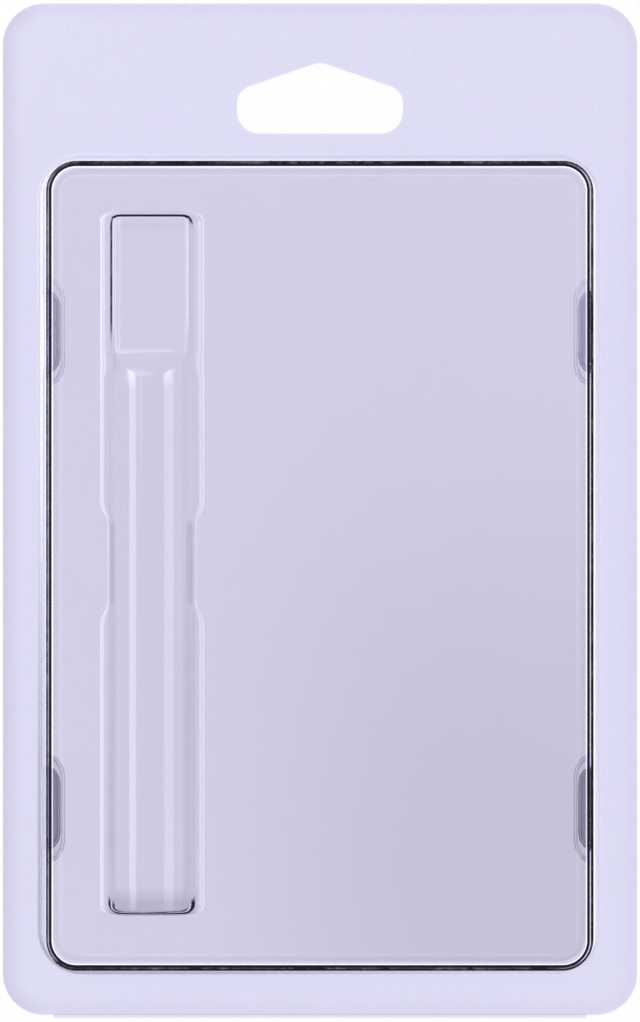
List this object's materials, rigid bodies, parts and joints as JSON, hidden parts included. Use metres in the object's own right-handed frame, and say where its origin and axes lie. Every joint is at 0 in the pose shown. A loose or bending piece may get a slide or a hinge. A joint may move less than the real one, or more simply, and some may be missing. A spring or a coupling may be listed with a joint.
{
  "type": "clamshell blister pack",
  "caption": "Clear hinged clamshell pack of formed film, with a raised box, a pen-shaped bubble on its face, a nested back tray and a peaked hanging hole.",
  "frame": {"origin": "under the middle of the closed pack, on the surface that it lies on", "axes": "+X across the pack to the right as seen from the front, +Y up towards the hanging hole, +Z out of the front face"},
  "size_m": [0.1, 0.16, 0.0201],
  "materials": {
    "cover_film": "clear gloss film",
    "tray_film": "clear gloss film",
    "hinge_film": "clear gloss film"
  },
  "bodies": {
    "tray": {"back_tray": "tray_film", "living_hinge": "hinge_film"},
    "cover": {"front_cover": "cover_film"}
  },
  "joints": [
    {"name": "cover_hinge", "type": "hinge", "parent": "tray", "child": "cover", "pos_m": [0, -0.07945, 0.00055], "axis": [1, 0, 0], "range_deg": [0, 130], "deforming": ["living_hinge"]}
  ]
}
